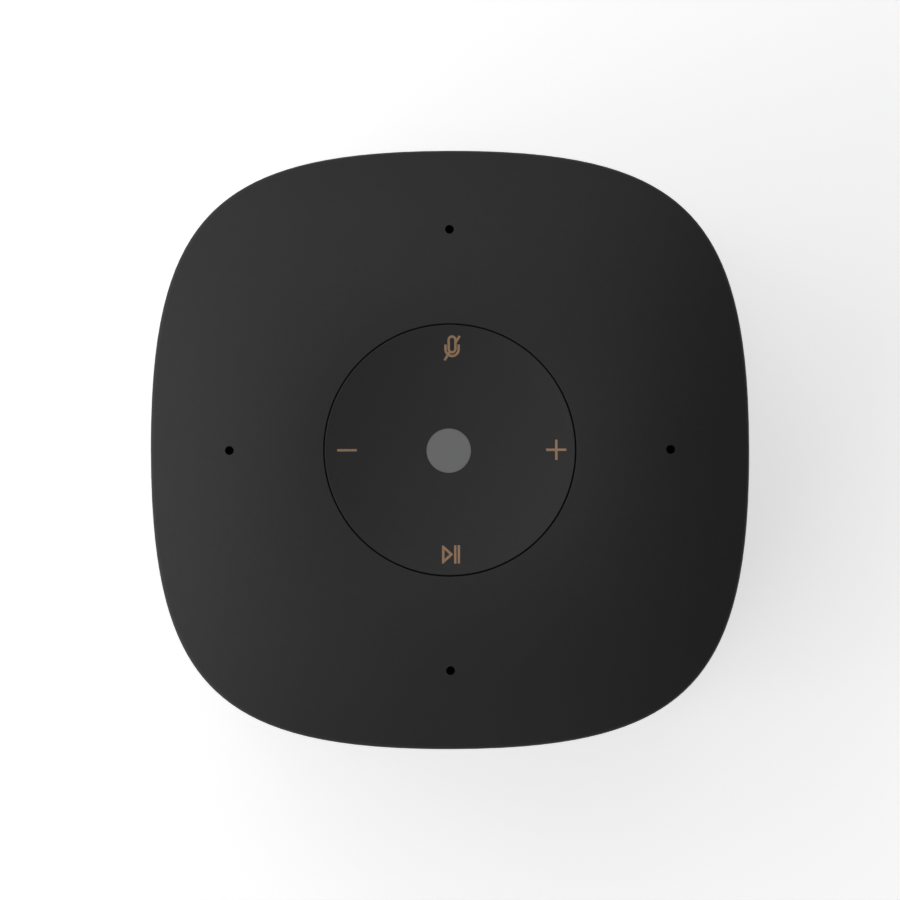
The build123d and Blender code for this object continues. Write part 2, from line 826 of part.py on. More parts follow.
plate_radius = 17.0
magnet_radius = 20.0
yoke_radius = 18.5
with BuildPart() as driver_top_plate:
    with BuildSketch(Plane.XY.offset(plate_bottom)):
        Circle(plate_radius)
        Circle(gap_radius, mode=Mode.SUBTRACT)
    extrude(amount=magnet_bottom - plate_bottom)
parts["driver_top_plate"] = driver_top_plate

with BuildPart() as driver_magnet:
    with BuildSketch(Plane.XY.offset(magnet_bottom)):
        Circle(magnet_radius)
        Circle(gap_radius + 3, mode=Mode.SUBTRACT)
    extrude(amount=magnet_top - magnet_bottom)
    chamfer(driver_magnet.edges(), length=0.4)
parts["driver_magnet"] = driver_magnet

with BuildPart() as driver_yoke:
    add(
        turned(
            (0, plate_bottom),
            (pole_radius, plate_bottom),
            (pole_radius, magnet_top),
            (yoke_radius, magnet_top),
            (yoke_radius, yoke_top - 0.8),
            (yoke_radius - 0.8, yoke_top),
            (0, yoke_top),
        )
    )
parts["driver_yoke"] = driver_yoke

# Surround: a half roll between the flange and the cone's edge.
roll_middle = 20.5
roll_outer = 1.9
roll_sheet = 0.4
roll_inner = roll_outer - roll_sheet
roll_top = seal_top - 0.02
roll_low = roll_top - roll_sheet
roll_rim = 23.3
roll_foot = 17.6
with BuildPart() as surround:
    with BuildSketch(Plane.XZ):
        with BuildLine():
            Polyline(
                (roll_middle + roll_outer, roll_low),
                (roll_rim, roll_low),
                (roll_rim, roll_top),
                (roll_middle + roll_inner, roll_top),
                (roll_middle + roll_inner, roll_low),
            )
            ThreePointArc(
                (roll_middle + roll_inner, roll_low),
                (roll_middle, roll_low - roll_inner),
                (roll_middle - roll_inner, roll_low),
            )
            Polyline(
                (roll_middle - roll_inner, roll_low),
                (roll_middle - roll_inner, roll_top),
                (roll_foot, roll_top),
                (roll_foot, roll_low),
                (roll_middle - roll_outer, roll_low),
            )
            ThreePointArc(
                (roll_middle - roll_outer, roll_low),
                (roll_middle, roll_low - roll_outer),
                (roll_middle + roll_outer, roll_low),
            )
        make_face()
    revolve(axis=Axis.Z)
parts["surround"] = surround

# Cone, dust cap and voice coil: the piece that moves.
cone_slope = 0.736
cone_sheet = 0.6
cone_neck = seal_top + (cone_outer - former_radius) * cone_slope
with BuildPart() as cone:
    add(
        turned(
            (cone_outer, seal_top),
            (cone_outer, seal_top + cone_sheet),
            (former_radius, cone_neck + cone_sheet),
            (former_radius, cone_neck),
            (cone_outer - 0.9, seal_top),
        )
    )
parts["cone"] = cone

cap_radius = 7.8
cap_height = 2.6
cap_sheet = 0.4
cap_edge = seal_top + (cone_outer - 0.9 - cap_radius) * cone_slope - 0.3
cap_sphere = (cap_radius**2 + cap_height**2) / (2 * cap_height)
with BuildPart() as dust_cap:
    with Locations((0, 0, cap_edge - cap_height + cap_sphere)):
        Sphere(cap_sphere)
        Sphere(cap_sphere - cap_sheet, mode=Mode.SUBTRACT)
    split(bisect_by=Plane.XY.offset(cap_edge), keep=Keep.BOTTOM)
parts["dust_cap"] = dust_cap

former_sheet = 0.4
winding = 0.3
winding_bottom = 63.4
winding_top = 68.4
with BuildPart() as voice_coil:
    add(
        turned(
            (former_radius - former_sheet, cone_neck - 0.4),
            (former_radius, cone_neck - 0.4),
            (former_radius, winding_bottom),
            (former_radius + winding, winding_bottom),
            (former_radius + winding, winding_top),
            (former_radius - former_sheet, winding_top),
        )
    )
parts["voice_coil"] = voice_coil

# Spider: the corrugated spring disc that centres the coil.
spider_level = 60.2
spider_inner = former_radius + 0.15
spider_outer = 16.0
wave_count = 4
wave_start = 8.0
wave_end = 14.4
wave_pitch = (wave_end - wave_start) / wave_count
lower_line = [(spider_inner, spider_level - 0.2), (wave_start, spider_level - 0.2)]
for wave in range(wave_count):
    start = wave_start + wave * wave_pitch
    lower_line.append((start + wave_pitch / 4, spider_level - 0.6))
    lower_line.append((start + 3 * wave_pitch / 4, spider_level - 0.05))
lower_line.append((wave_end, spider_level - 0.2))
lower_line.append((spider_outer, spider_level - 0.2))
upper_line = [(x, z + 0.4) for x, z in reversed(lower_line)]
with BuildPart() as spider:
    add(turned(*lower_line, *upper_line))
parts["spider"] = spider

# Terminals: a small strip with two solder tabs, standing on the flange.
terminal_y = 24.9
with BuildPart() as driver_terminals:
    with BuildSketch(Plane.XY.offset(flange_top)):
        with Locations((0, terminal_y)):
            Rectangle(9, 0.9)
    extrude(amount=5.0)
    with BuildSketch(Plane.XY.offset(flange_top + 3.4)):
        with Locations((-1.8, terminal_y + 0.6), (1.8, terminal_y + 0.6)):
            Rectangle(1.6, 0.5)
    extrude(amount=2.6)
parts["driver_terminals"] = driver_terminals

# Leads from the driver up through the box's ceiling to the main board.
lead_x = 1.8
lead_foot = flange_top + 6.0
speaker_socket_bottom = 111.4
with BuildPart() as speaker_leads:
    for side in (-1, 1):
        route = [
            (side * lead_x, terminal_y + 0.6, lead_foot),
            (side * lead_x, terminal_y + 0.6, 84.0),
            (side * lead_x, 27.0, 96.0),
            (side * lead_x, 27.0, speaker_socket_bottom),
        ]
        add(wire_lead(route, 0.55))
parts["speaker_leads"] = speaker_leads

# ---- Main board ----

with BuildPart() as main_board:
    with BuildSketch(Plane.XY.offset(main_board_bottom)):
        RectangleRounded(main_board_size, main_board_size, main_board_corner)
        with GridLocations(2 * main_board_hole, 2 * main_board_hole, 2, 2):
            Circle(small_screw_radius + screw_play, mode=Mode.SUBTRACT)
    extrude(amount=main_board_top - main_board_bottom)
parts["main_board"] = main_board

chip_place = (-6, 3)
chip_top = main_board_top + 1.2
can_top = main_board_top + 2.6
pad_top = can_top + 0.8
spreader_top = pad_top + 1.8
with BuildPart() as processor_chip:
    with BuildSketch(Plane.XY.offset(main_board_top)):
        with Locations(chip_place):
            Rectangle(14, 14)
    extrude(amount=chip_top - main_board_top)
    chamfer(processor_chip.edges().group_by(Axis.Z)[-1], length=0.2)
parts["processor_chip"] = processor_chip

with BuildPart() as shield_can:
    with BuildSketch(Plane.XY.offset(main_board_top)):
        with Locations(chip_place):
            RectangleRounded(24, 24, 1)
    extrude(amount=can_top - main_board_top)
    with BuildSketch(Plane.XY.offset(main_board_top)):
        with Locations(chip_place):
            Rectangle(23.4, 23.4)
    extrude(amount=can_top - main_board_top - 0.3, mode=Mode.SUBTRACT)
parts["shield_can"] = shield_can

with BuildPart() as thermal_pad:
    with BuildSketch(Plane.XY.offset(can_top)):
        with Locations(chip_place):
            Rectangle(18, 18)
    extrude(amount=pad_top - can_top)
parts["thermal_pad"] = thermal_pad

with BuildPart() as heat_spreader:
    with BuildSketch(Plane.XY.offset(pad_top)):
        with Locations(chip_place):
            RectangleRounded(40, 36, 3)
    extrude(amount=spreader_top - pad_top)
    with BuildSketch(Plane.XY.offset(main_board_top)):
        with Locations(chip_place):
            with GridLocations(34, 30, 2, 2):
                Circle(1.8)
    extrude(amount=pad_top - main_board_top + 0.5)
parts["heat_spreader"] = heat_spreader

radio_place = (22, -9)
with BuildPart() as radio_module:
    with BuildSketch(Plane.XY.offset(main_board_top)):
        with Locations(radio_place):
            Rectangle(11, 16)
    extrude(amount=0.8)
    with BuildSketch(Plane.XY.offset(main_board_top + 0.8)):
        with Locations((radio_place[0], radio_place[1] + 1.5)):
            RectangleRounded(9.6, 11.5, 0.5)
    extrude(amount=1.4)
parts["radio_module"] = radio_module


def stamped_antenna(length, height):
    """Folded sheet antenna along X, standing on two feet at Z = 0."""
    sheet = 0.4
    with BuildPart() as antenna:
        with BuildSketch(Plane.XZ):
            with Locations((0, height - 1.5)):
                Rectangle(length, 3.0)
            with Locations((-length / 2 + 0.8, height / 2), (-length / 2 + 4.0, height / 2)):
                Rectangle(1.6, height)
        extrude(amount=sheet)
        with BuildSketch(Plane.XY.offset(height - sheet)):
            with Locations((0, -2.0)):
                Rectangle(length, 4.0)
        extrude(amount=sheet)
    return antenna.part


with BuildPart() as wifi_antenna:
    with Locations(Location((27.0, 8.0, main_board_top), (0, 0, 90))):
        add(stamped_antenna(18.0, 6.5))
parts["wifi_antenna"] = wifi_antenna

with BuildPart() as mesh_antenna:
    with Locations((-14.5, -25.0, main_board_top)):
        add(stamped_antenna(13.0, 5.5))
parts["mesh_antenna"] = mesh_antenna

with BuildPart() as power_capacitors:
    with BuildSketch(Plane.XY.offset(main_board_top)):
        with Locations((-17, 25.6), (-10, 25.6), (10, 25.6), (17, 25.6)):
            Circle(3.0)
    extrude(amount=5.4)
    fillet(power_capacitors.edges().group_by(Axis.Z)[-1], radius=0.5)
parts["power_capacitors"] = power_capacitors

# Board sockets: the power lead's on top, the speaker leads' underneath.
power_lead_level = main_board_top + 1.9
with BuildPart() as board_sockets:
    with BuildSketch(Plane.XY.offset(main_board_top)):
        with Locations((0, 26.2)):
            Rectangle(7, 5.4)
    extrude(amount=4.0)
    with BuildSketch(Plane.XY.offset(speaker_socket_bottom)):
        with Locations((0, 26.5)):
            Rectangle(7, 4.6)
    extrude(amount=main_board_bottom - speaker_socket_bottom)
parts["board_sockets"] = board_sockets

# ---- Screws of the boards, the cover and the base ----

control_screw = screw(1.9, board_bottom, 1.2, small_screw_radius, 135.0)
main_screw = screw(1.9, main_board_top, 1.2, small_screw_radius, main_board_bottom - 4.6)
with BuildPart() as board_screws:
    with GridLocations(2 * board_hole, 2 * board_hole, 2, 2):
        add(control_screw)
    with GridLocations(2 * main_board_hole, 2 * main_board_hole, 2, 2):
        add(main_screw)
parts["board_screws"] = board_screws

cover_screw = screw(2.1, column_seat, 1.5, screw_radius, 132.5)
with BuildPart() as body_screws:
    with GridLocations(2 * cover_column, 2 * cover_column, 2, 2):
        add(cover_screw)
parts["body_screws"] = body_screws

base_screw = screw(2.1, screw_seat, 1.5, screw_radius, 55.0)
with BuildPart() as base_screws:
    with GridLocations(2 * base_column, 2 * base_column, 2, 2):
        add(base_screw)
parts["base_screws"] = base_screws

# ---- Base internals ----

# Power socket: a round mouth with a centre pin.
with BuildPart() as power_jack:
    with BuildSketch(Plane.XZ.offset(-jack_back)):
        with Locations((0, jack_height)):
            Rectangle(jack_size - 1, jack_size)
    extrude(amount=-(jack_face - jack_back))
    fillet(power_jack.edges().filter_by(Axis.Y), radius=0.8)
    with BuildSketch(Plane.XZ.offset(-jack_face)):
        with Locations((0, jack_height)):
            Circle(socket_radius)
    extrude(amount=socket_depth_inside, mode=Mode.SUBTRACT)
    with BuildSketch(Plane.XZ.offset(-(jack_face - socket_depth_inside - 0.3))):
        with Locations((0, jack_height)):
            Circle(socket_pin_radius)
    extrude(amount=-(socket_depth_inside - 0.2))
parts["power_jack"] = power_jack

# Power lead: from the socket up the rear wall to the main board.
with BuildPart() as power_lead:
    add(
        wire_lead(
            [
                (0, 35.0, jack_height + 5.0),
                (0, 35.0, 27.0),
                (0, 41.0, 42.0),
                (0, 41.0, 100.0),
                (0, 39.5, 112.0),
                (0, 35.0, power_lead_level),
                (0, 28.9, power_lead_level),
            ],
            1.3,
        )
    )
parts["power_lead"] = power_lead

# Sound diffuser: a flared cone under the driver on a short tube.
with BuildPart() as sound_diffuser:
    with BuildSketch(Plane.XZ):
        with BuildLine():
            Polyline(
                (0, 32.5),
                (0, 35.0),
                (1.5, 34.6),
            )
            Spline((1.5, 34.6), (9.0, 24.5), (28.0, 18.0), tangents=((0.45, -1), (1, -0.1)))
            Polyline(
                (28.0, 18.0),
                (28.0, 16.4),
                (26.0, 16.4),
                (26.0, base_floor + shell_wall),
                (24.2, base_floor + shell_wall),
                (24.2, 16.8),
            )
            Spline((24.2, 16.8), (8.0, 22.8), (0, 32.5), tangents=((-1, 0.15), (-0.4, 1)))
        make_face()
    revolve(axis=Axis.Z)
parts["sound_diffuser"] = sound_diffuser

# ---- Output ----

os.makedirs("parts", exist_ok=True)
for node_name, builder in parts.items():
    builder.part.label = node_name
    export_step(builder.part, "parts/" + node_name + ".step")
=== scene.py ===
import json
import math

import bpy
import numpy as np
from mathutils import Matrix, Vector


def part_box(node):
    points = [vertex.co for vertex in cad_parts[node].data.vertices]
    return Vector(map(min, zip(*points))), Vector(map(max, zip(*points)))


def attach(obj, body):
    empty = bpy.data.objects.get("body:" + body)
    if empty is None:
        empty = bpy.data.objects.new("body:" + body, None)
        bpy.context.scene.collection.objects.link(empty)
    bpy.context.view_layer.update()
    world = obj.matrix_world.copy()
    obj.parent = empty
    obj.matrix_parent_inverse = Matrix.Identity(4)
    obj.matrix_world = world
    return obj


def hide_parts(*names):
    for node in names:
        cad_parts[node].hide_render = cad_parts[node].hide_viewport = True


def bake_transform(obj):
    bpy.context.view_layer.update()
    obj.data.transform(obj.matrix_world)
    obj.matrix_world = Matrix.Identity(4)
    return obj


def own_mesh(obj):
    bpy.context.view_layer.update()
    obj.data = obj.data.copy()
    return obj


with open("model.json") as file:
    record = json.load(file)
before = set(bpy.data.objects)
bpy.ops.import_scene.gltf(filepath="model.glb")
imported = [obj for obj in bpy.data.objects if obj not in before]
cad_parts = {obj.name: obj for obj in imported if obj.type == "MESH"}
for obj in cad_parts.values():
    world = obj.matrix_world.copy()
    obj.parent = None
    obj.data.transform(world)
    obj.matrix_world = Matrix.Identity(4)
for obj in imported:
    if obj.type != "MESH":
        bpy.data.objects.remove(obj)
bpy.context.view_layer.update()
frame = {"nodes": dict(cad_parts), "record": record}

MM = 0.001


def placed(name, data):
    """A new object in the scene with this mesh, light or camera."""
    thing = bpy.data.objects.new(name, data)
    bpy.context.scene.collection.objects.link(thing)
    return thing


def scaled(colour, factor):
    return tuple(channel * factor for channel in colour)


# ---- Materials ----
# Every texture is read in object coordinates, which are metres in the part's own frame,
# so a pattern's scale is one over its pitch.

NOISE_RANGE = (0.3, 0.7)  # nearly all values of a noise texture
NOISE_CORE = (0.35, 0.65)  # most of them
WAVE_SCALE = math.pi / 10.0  # a wave texture's scale times its pitch


class Surface:
    """One node-based material, built up by small steps."""

    def __init__(self, name, roughness=0.5, metallic=0.0):
        self.material = bpy.data.materials.new(name)
        self.material.use_nodes = True
        self.nodes = self.material.node_tree.nodes
        self.links = self.material.node_tree.links
        self.shader = self.nodes["Principled BSDF"]
        self.shader.inputs["Roughness"].default_value = roughness
        self.shader.inputs["Metallic"].default_value = metallic
        self.place = self.nodes.new("ShaderNodeTexCoord").outputs["Object"]
        self.height = None

    def set(self, **values):
        """Constant values on the shader's own sockets, by their names with _ for a space."""
        for name, value in values.items():
            self.shader.inputs[name.replace("_", " ")].default_value = value
        return self

    def stretched(self, x, y, z):
        """The coordinates scaled along each axis, for brushed or drawn patterns."""
        mapping = self.nodes.new("ShaderNodeMapping")
        mapping.inputs["Scale"].default_value = (x, y, z)
        self.links.new(self.place, mapping.inputs["Vector"])
        return mapping.outputs["Vector"]

    def noise(self, pitch, detail=3.0, roughness=0.55, place=None):
        texture = self.nodes.new("ShaderNodeTexNoise")
        texture.inputs["Scale"].default_value = 1.0 / pitch
        texture.inputs["Detail"].default_value = detail
        texture.inputs["Roughness"].default_value = roughness
        self.links.new(place or self.place, texture.inputs["Vector"])
        return texture.outputs["Fac"]

    def cells(self, pitch, feature="F1", place=None):
        texture = self.nodes.new("ShaderNodeTexVoronoi")
        texture.feature = feature
        texture.inputs["Scale"].default_value = 1.0 / pitch
        self.links.new(place or self.place, texture.inputs["Vector"])
        return texture.outputs["Distance"]

    def waves(self, pitch, direction="X", distortion=0.0, place=None):
        texture = self.nodes.new("ShaderNodeTexWave")
        texture.wave_type = "BANDS"
        texture.bands_direction = direction
        texture.inputs["Scale"].default_value = WAVE_SCALE / pitch
        texture.inputs["Distortion"].default_value = distortion
        texture.inputs["Detail"].default_value = 1.0
        self.links.new(place or self.place, texture.inputs["Vector"])
        return texture.outputs["Fac"]

    def span(self, value, low_in, high_in, low_out, high_out):
        """Value moved from one range to another, clamped."""
        node = self.nodes.new("ShaderNodeMapRange")
        node.clamp = True
        for name, number in zip(
            ("From Min", "From Max", "To Min", "To Max"), (low_in, high_in, low_out, high_out)
        ):
            node.inputs[name].default_value = number
        self.links.new(value, node.inputs["Value"])
        return node.outputs["Result"]

    def join(self, operation, first, second):
        node = self.nodes.new("ShaderNodeMath")
        node.operation = operation
        for index, value in enumerate((first, second)):
            if isinstance(value, (int, float)):
                node.inputs[index].default_value = value
            else:
                self.links.new(value, node.inputs[index])
        return node.outputs["Value"]

    def colours(self, value, *stops):
        """Colour from (position, (r, g, b)) stops."""
        ramp = self.nodes.new("ShaderNodeValToRGB")
        elements = ramp.color_ramp.elements
        while len(elements) < len(stops):
            elements.new(0.5)
        for element, (position, colour) in zip(elements, stops):
            element.position = position
            element.color = (*colour, 1.0)
        self.links.new(value, ramp.inputs["Fac"])
        return ramp.outputs["Color"]

    def paint(self, colour):
        self.links.new(colour, self.shader.inputs["Base Color"])
        return self

    def mottle(self, colour, pitch, amount):
        """Base colour that varies a little from place to place."""
        low, high = NOISE_RANGE
        dark, light = scaled(colour, 1 - amount), scaled(colour, 1 + amount)
        return self.paint(self.colours(self.noise(pitch), (low, dark), (high, light)))

    def rough(self, low, high, pitch):
        """Roughness that varies between the two values from place to place."""
        value = self.span(self.noise(pitch, 2.0), *NOISE_CORE, low, high)
        self.links.new(value, self.shader.inputs["Roughness"])
        return self

    def bump(self, value, depth, strength=1.0):
        """Relief of that depth in metres; later calls add to earlier ones."""
        node = self.nodes.new("ShaderNodeBump")
        node.inputs["Distance"].default_value = depth
        node.inputs["Strength"].default_value = strength
        self.links.new(value, node.inputs["Height"])
        if self.height is not None:
            self.links.new(self.height, node.inputs["Normal"])
        self.height = node.outputs["Normal"]
        self.links.new(self.height, self.shader.inputs["Normal"])
        return self


def moulded(name, colour, roughness, grain=0.16 * MM, relief=0.006 * MM):
    """Textured moulded plastic: a fine spark-eroded grain over slow changes in tone."""
    surface = Surface(name)
    surface.mottle(colour, 9 * MM, 0.03)
    surface.rough(roughness - 0.02, roughness + 0.02, 0.8 * MM)
    surface.bump(surface.noise(grain, 2.0, 0.6), relief)
    return surface


def rubbery(name, colour, roughness=0.8):
    surface = Surface(name)
    surface.mottle(colour, 3 * MM, 0.12)
    surface.rough(roughness - 0.08, roughness + 0.08, 0.9 * MM)
    surface.bump(surface.cells(0.35 * MM), 0.01 * MM, 0.6)
    surface.bump(surface.noise(0.12 * MM), 0.006 * MM)
    return surface


def metallic(name, colour, roughness, streak=(1, 1, 25), pitch=0.3 * MM):
    """Metal with fine streaks drawn along the axes that are scaled least."""
    surface = Surface(name, roughness, 1.0)
    lines = surface.noise(pitch, 2.0, place=surface.stretched(*streak))
    low, high = NOISE_RANGE
    surface.paint(surface.colours(lines, (low, scaled(colour, 0.82)), (high, colour)))
    surface.links.new(
        surface.span(lines, low, high, roughness - 0.06, roughness + 0.08),
        surface.shader.inputs["Roughness"],
    )
    surface.bump(lines, 0.004 * MM)
    return surface


def circuit_board(name):
    """Solder mask over copper tracks, with plated dots."""
    surface = Surface(name, 0.38)
    tracks_x = surface.waves(1.3 * MM, "X", 3.0)
    tracks_y = surface.waves(1.7 * MM, "Y", 3.0)
    tracks = surface.join("MAXIMUM", tracks_x, tracks_y)
    raised = surface.span(tracks, 0.86, 0.94, 0.0, 1.0)
    mask = surface.colours(raised, (0.0, (0.006, 0.035, 0.02)), (1.0, (0.012, 0.075, 0.035)))
    dots = surface.span(surface.cells(3.4 * MM), 0.07, 0.09, 1.0, 0.0)
    blend = surface.nodes.new("ShaderNodeMix")
    blend.data_type = "RGBA"
    surface.links.new(dots, blend.inputs["Factor"])
    surface.links.new(mask, blend.inputs["A"])
    blend.inputs["B"].default_value = (0.55, 0.36, 0.12, 1.0)
    surface.paint(blend.outputs["Result"])
    surface.bump(raised, 0.03 * MM)
    return surface


def woven(name, colour, pitch):
    """Cloth: two sets of threads that pass over and under each other."""
    surface = Surface(name, 0.85)
    warp = surface.waves(pitch, "X")
    weft = surface.waves(pitch, "Y")
    threads = surface.join("MAXIMUM", warp, weft)
    surface.paint(surface.colours(threads, (0.2, scaled(colour, 0.45)), (0.8, colour)))
    surface.bump(threads, 0.08 * MM)
    surface.set(Sheen_Weight=0.25)
    return surface


def knitted(name, colour, pitch):
    """Thin open cloth that is looked at from the side: threads up and around."""
    surface = Surface(name, 0.95)
    around = surface.waves(pitch, "Z", 1.5)
    upward = surface.waves(pitch, "DIAGONAL", 1.5)
    threads = surface.join("MAXIMUM", around, upward)
    surface.paint(surface.colours(threads, (0.3, scaled(colour, 0.4)), (0.8, colour)))
    surface.bump(threads, 0.05 * MM)
    return surface


def fibrous(name, colour):
    """Pressed paper: short fibres in every direction."""
    surface = Surface(name, 0.8)
    fibres = surface.noise(0.5 * MM, 6.0, 0.75)
    low, high = NOISE_CORE
    surface.paint(surface.colours(fibres, (low, scaled(colour, 0.6)), (high, colour)))
    surface.rough(0.72, 0.9, 1.0 * MM)
    surface.bump(fibres, 0.05 * MM)
    return surface


def foamed(name, colour):
    surface = Surface(name, 0.95)
    bubbles = surface.cells(0.4 * MM)
    surface.paint(surface.colours(bubbles, (0.0, scaled(colour, 0.3)), (0.6, colour)))
    surface.bump(bubbles, 0.12 * MM)
    return surface


def wound(name, colour):
    """Lacquered wire in close turns round Z."""
    surface = Surface(name, 0.28, 1.0)
    turns = surface.waves(0.2 * MM, "Z")
    surface.paint(surface.colours(turns, (0.1, scaled(colour, 0.4)), (0.6, colour)))
    surface.bump(turns, 0.05 * MM)
    return surface


def clear(name):
    """Clear moulded plastic with faint flow lines."""
    surface = Surface(name)
    surface.mottle((0.9, 0.92, 0.92), 4 * MM, 0.04)
    surface.rough(0.05, 0.15, 2 * MM)
    surface.bump(surface.noise(1.2 * MM), 0.01 * MM)
    surface.set(Transmission_Weight=0.85, IOR=1.49)
    return surface


def frosted(name, colour):
    """Milky window with a satin face."""
    surface = Surface(name)
    surface.mottle(colour, 2.5 * MM, 0.02)
    surface.rough(0.5, 0.6, 1.0 * MM)
    surface.bump(surface.noise(0.12 * MM, 2.0), 0.004 * MM)
    surface.set(Subsurface_Weight=0.15, Subsurface_Scale=0.8 * MM)
    return surface


def marking(name, colour):
    """Copper-coloured inlay: fine metal flakes in lacquer."""
    surface = Surface(name, 0.42)
    flakes = surface.cells(0.09 * MM)
    light, dark = scaled(colour, 1.25), scaled(colour, 0.72)
    surface.paint(surface.colours(flakes, (0.1, light), (0.7, dark)))
    surface.bump(flakes, 0.004 * MM)
    surface.rough(0.52, 0.64, 0.6 * MM)
    surface.set(Metallic=0.05)
    return surface


COVER = (0.0205, 0.0205, 0.021)
MATERIALS = {
    "cover_plastic": moulded("cover_plastic", COVER, 0.62),
    "disc_plastic": moulded("disc_plastic", COVER, 0.6),
    "sleeve_plastic": moulded("sleeve_plastic", (0.019, 0.019, 0.0195), 0.58, 0.2 * MM),
    "base_plastic": moulded("base_plastic", (0.018, 0.018, 0.0185), 0.6, 0.22 * MM),
    "foot_rubber": rubbery("foot_rubber", (0.012, 0.012, 0.012), 0.85),
    "mark_copper": marking("mark_copper", (0.49, 0.295, 0.17)),
    "lens_plastic": frosted("lens_plastic", (0.24, 0.24, 0.24)),
    "clear_plastic": clear("clear_plastic"),
    "inner_plastic": moulded("inner_plastic", (0.03, 0.03, 0.032), 0.55, 0.4 * MM),
    "acetal": moulded("acetal", (0.72, 0.71, 0.66), 0.38, 0.3 * MM),
    "board_green": circuit_board("board_green"),
    "chip_black": moulded("chip_black", (0.012, 0.012, 0.013), 0.45, 0.1 * MM),
    "socket_cream": moulded("socket_cream", (0.62, 0.57, 0.44), 0.45, 0.3 * MM),
    "cable_film": metallic("cable_film", (0.75, 0.78, 0.8), 0.3, (30, 1, 1), 0.5 * MM),
    "tin_steel": metallic("tin_steel", (0.6, 0.6, 0.6), 0.32, (1, 20, 1)),
    "dome_steel": metallic("dome_steel", (0.68, 0.65, 0.58), 0.22, (1, 1, 6)),
    "screw_steel": metallic("screw_steel", (0.36, 0.36, 0.37), 0.35, (1, 1, 12)),
    "spreader_aluminium": metallic("spreader_aluminium", (0.75, 0.75, 0.76), 0.33, (25, 1, 1)),
    "pad_silicone": rubbery("pad_silicone", (0.18, 0.3, 0.42), 0.7),
    "gasket_rubber": rubbery("gasket_rubber", (0.015, 0.015, 0.015), 0.75),
    "seal_foam": foamed("seal_foam", (0.04, 0.04, 0.042)),
    "basket_steel": moulded("basket_steel", (0.02, 0.02, 0.021), 0.35, 0.5 * MM),
    "pole_steel": metallic("pole_steel", (0.5, 0.5, 0.52), 0.3, (1, 1, 18)),
    "ferrite": moulded("ferrite", (0.05, 0.05, 0.053), 0.7, 0.3 * MM, 0.03 * MM),
    "surround_rubber": rubbery("surround_rubber", (0.014, 0.014, 0.014), 0.6),
    "spider_cloth": woven("spider_cloth", (0.42, 0.28, 0.1), 0.5 * MM),
    "cone_paper": fibrous("cone_paper", (0.05, 0.05, 0.054)),
    "coil_copper": wound("coil_copper", (0.7, 0.3, 0.12)),
    "lead_insulation": rubbery("lead_insulation", (0.02, 0.02, 0.022), 0.5),
    "capacitor_can": metallic("capacitor_can", (0.7, 0.7, 0.72), 0.3, (1, 1, 15)),
}


def dress(piece, slot):
    """Gives a piece the one material of its slot."""
    piece.data.materials.clear()
    piece.data.materials.append(MATERIALS[slot].material)


for entry in frame["record"]["subparts"]:
    dress(frame["nodes"][entry["node"]], entry["material_slot"])

# ---- Springs and membranes ----
# These CAD solids are rigid. A copy of each one stands in for it.

SURROUND_BENDS = (18.4 * MM, 22.0 * MM)  # inner and outer radius of the part that bends
SPIDER_BENDS = (8.0 * MM, 14.4 * MM)


def flexible(node):
    """A copy of a CAD node that stands for it, with the same material."""
    rigid = frame["nodes"][node]
    piece = placed("flexible_" + node, rigid.data.copy())
    bpy.context.view_layer.update()
    piece.matrix_world = rigid.matrix_world.copy()
    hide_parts(node)
    return piece


def bend_with_cone(piece, inner, outer):
    """Bakes the piece's placement into its mesh; the piece is not bent.

    inner and outer are not used.
    """
    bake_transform(piece)


surround = flexible("surround")
bend_with_cone(surround, *SURROUND_BENDS)

spider = flexible("spider")
bend_with_cone(spider, *SPIDER_BENDS)

for dome_node, key_joint in (
    ("domes_front_rear", "tilt_front_rear"),
    ("domes_left_right", "tilt_left_right"),
):
    domes = flexible(dome_node)
    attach(domes, "chassis")
    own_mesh(domes)

# ---- Perforated sleeve ----
# The CAD wall is plain. This piece has the same size, with round holes in a staggered
# pattern that get smaller towards the top.

SLEEVE_LOW, SLEEVE_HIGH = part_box("sleeve")
CORNER_HANDLE = 0.786  # reach of a quarter's Bezier handles, as a share of half the width
QUARTER_STEPS = 600
HOLE_PITCH = 2.9 * MM
ROW_PITCH = HOLE_PITCH * math.sqrt(3) / 2
HOLE_SIDES = 8
HOLE_RADIUS_LOW = 0.85 * MM
HOLE_RADIUS_TOP = 0.3 * MM
FADE_START = 0.35  # share of the pattern's height where the holes begin to shrink
MARGIN_LOW = 5 * MM
MARGIN_TOP = 9 * MM
SLEEVE_WALL = 2 * MM


class Outline:
    """The rounded square, with places along it measured as shares of its length."""

    def __init__(self, half):
        t = np.linspace(0, 1, QUARTER_STEPS, endpoint=False)
        reach = half * CORNER_HANDLE
        along = half * (1 - t) ** 3 + 3 * half * (1 - t) ** 2 * t + 3 * reach * (1 - t) * t**2
        across = 3 * reach * (1 - t) ** 2 * t + 3 * half * (1 - t) * t**2 + half * t**3
        x = np.concatenate([along, -across, -along, across])
        y = np.concatenate([across, along, -across, -along])
        self.x = np.append(x, x[0])
        self.y = np.append(y, y[0])
        steps = np.hypot(np.diff(self.x), np.diff(self.y))
        self.length = steps.sum()
        self.share = np.append(0, np.cumsum(steps)) / self.length

    def points(self, share, level):
        """Points at these shares of the way round and these levels, as rows of x, y, z."""
        share = np.mod(share, 1.0)
        x = np.interp(share, self.share, self.x)
        y = np.interp(share, self.share, self.y)
        return np.stack([x, y, np.broadcast_to(level, x.shape)], axis=-1)


